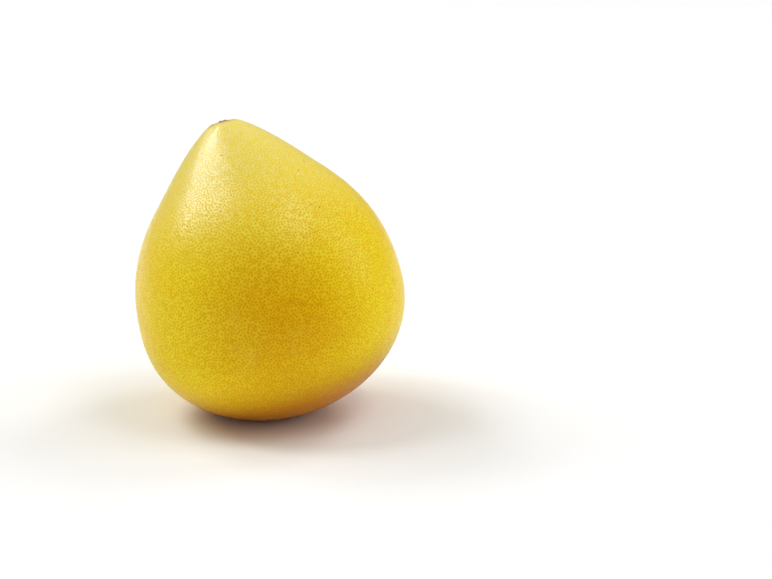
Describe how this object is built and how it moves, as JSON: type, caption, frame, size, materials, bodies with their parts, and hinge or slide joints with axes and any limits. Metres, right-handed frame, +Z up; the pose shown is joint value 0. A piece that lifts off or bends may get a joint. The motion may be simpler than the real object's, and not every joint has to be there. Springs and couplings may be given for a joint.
{
  "type": "whole pomelo",
  "caption": "Whole pear-shaped pomelo standing on its blossom end, leaning slightly, with its dried stem button at the tip of the neck.",
  "frame": {"origin": "centre of the flat spot on the blossom end that the fruit rests on", "axes": "+Z up, out of the surface it rests on; the neck leans towards -X and a little towards +Y; -Y is the front"},
  "size_m": [0.1507, 0.1501, 0.1663],
  "materials": {
    "peel": "satin, fine pitted oil glands in waxy yellow rind",
    "dried_stem": "dry, matt, fibrous"
  },
  "bodies": {
    "root": {"fruit": "peel", "stem_button": "dried_stem"}
  },
  "joints": []
}
